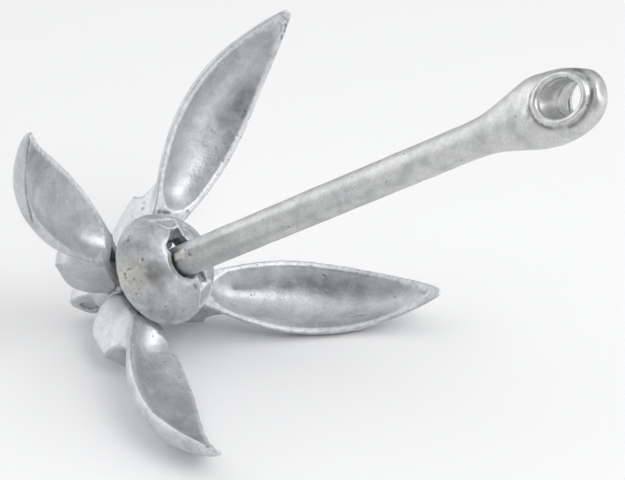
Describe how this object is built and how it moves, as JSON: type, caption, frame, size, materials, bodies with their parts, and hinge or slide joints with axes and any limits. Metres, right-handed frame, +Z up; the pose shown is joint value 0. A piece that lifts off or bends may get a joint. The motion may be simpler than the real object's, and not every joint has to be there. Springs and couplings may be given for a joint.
{
  "type": "folding grapnel boat anchor",
  "caption": "Galvanised folding grapnel anchor: straight shank with a rode eye, spoon flukes hinged on a crown with a trip eye, and a sliding ball-shaped lock collar.",
  "frame": {"origin": "centre of the bounding box's bottom, on the floor that the anchor lies on", "axes": "+Z up from the floor, +X along the floor in the direction that the shank climbs towards its eye"},
  "size_m": [0.2814, 0.156, 0.1752],
  "materials": {
    "zinc_bar": "hot-dip galvanised forged steel, satin, faint lengthwise marks",
    "zinc_casting": "hot-dip galvanised casting, fine-grained, mottled pale grey with small pits",
    "zinc_collar": "hot-dip galvanised casting, smoother and slightly bluish, with bright edges at the keyway"
  },
  "bodies": {
    "crown": {"crown": "zinc_casting", "shank": "zinc_bar"},
    "collar": {"lock_collar": "zinc_collar"},
    "fluke_1": {"fluke_1": "zinc_casting", "pivot_pin_1": "zinc_bar"},
    "fluke_2": {"fluke_2": "zinc_casting", "pivot_pin_2": "zinc_bar"},
    "fluke_3": {"fluke_3": "zinc_casting", "pivot_pin_3": "zinc_bar"},
    "fluke_4": {"fluke_4": "zinc_casting", "pivot_pin_4": "zinc_bar"}
  },
  "joints": [
    {"name": "collar_slide", "type": "slide", "parent": "crown", "child": "collar", "axis": [0.8607, 0, 0.509], "range_m": [0, 0.184]},
    {"name": "fluke_1_fold", "type": "hinge", "parent": "crown", "child": "fluke_1", "pos_m": [-0.11388, 0.01472, 0.03802], "axis": [0.3783, 0.6691, -0.6397], "range_deg": [0, 43.8]},
    {"name": "fluke_2_fold", "type": "hinge", "parent": "crown", "child": "fluke_2", "pos_m": [-0.09916, 0.01373, 0.01312], "axis": [0.3735, -0.6794, -0.6316], "range_deg": [0, 37.6]},
    {"name": "fluke_3_fold", "type": "hinge", "parent": "crown", "child": "fluke_3", "pos_m": [-0.09972, -0.01674, 0.01406], "axis": [-0.3922, -0.6374, 0.6632], "range_deg": [0, 40.2]},
    {"name": "fluke_4_fold", "type": "hinge", "parent": "crown", "child": "fluke_4", "pos_m": [-0.11467, -0.01517, 0.03934], "axis": [-0.3485, 0.729, 0.5892], "range_deg": [0, 46.2]}
  ],
  "couplings": [
    {"joint": "fluke_1_fold", "follows": "collar_slide", "rad_per_m": 4.1357},
    {"joint": "fluke_2_fold", "follows": "collar_slide", "rad_per_m": 3.5476},
    {"joint": "fluke_3_fold", "follows": "collar_slide", "rad_per_m": 3.7942},
    {"joint": "fluke_4_fold", "follows": "collar_slide", "rad_per_m": 4.3633}
  ]
}
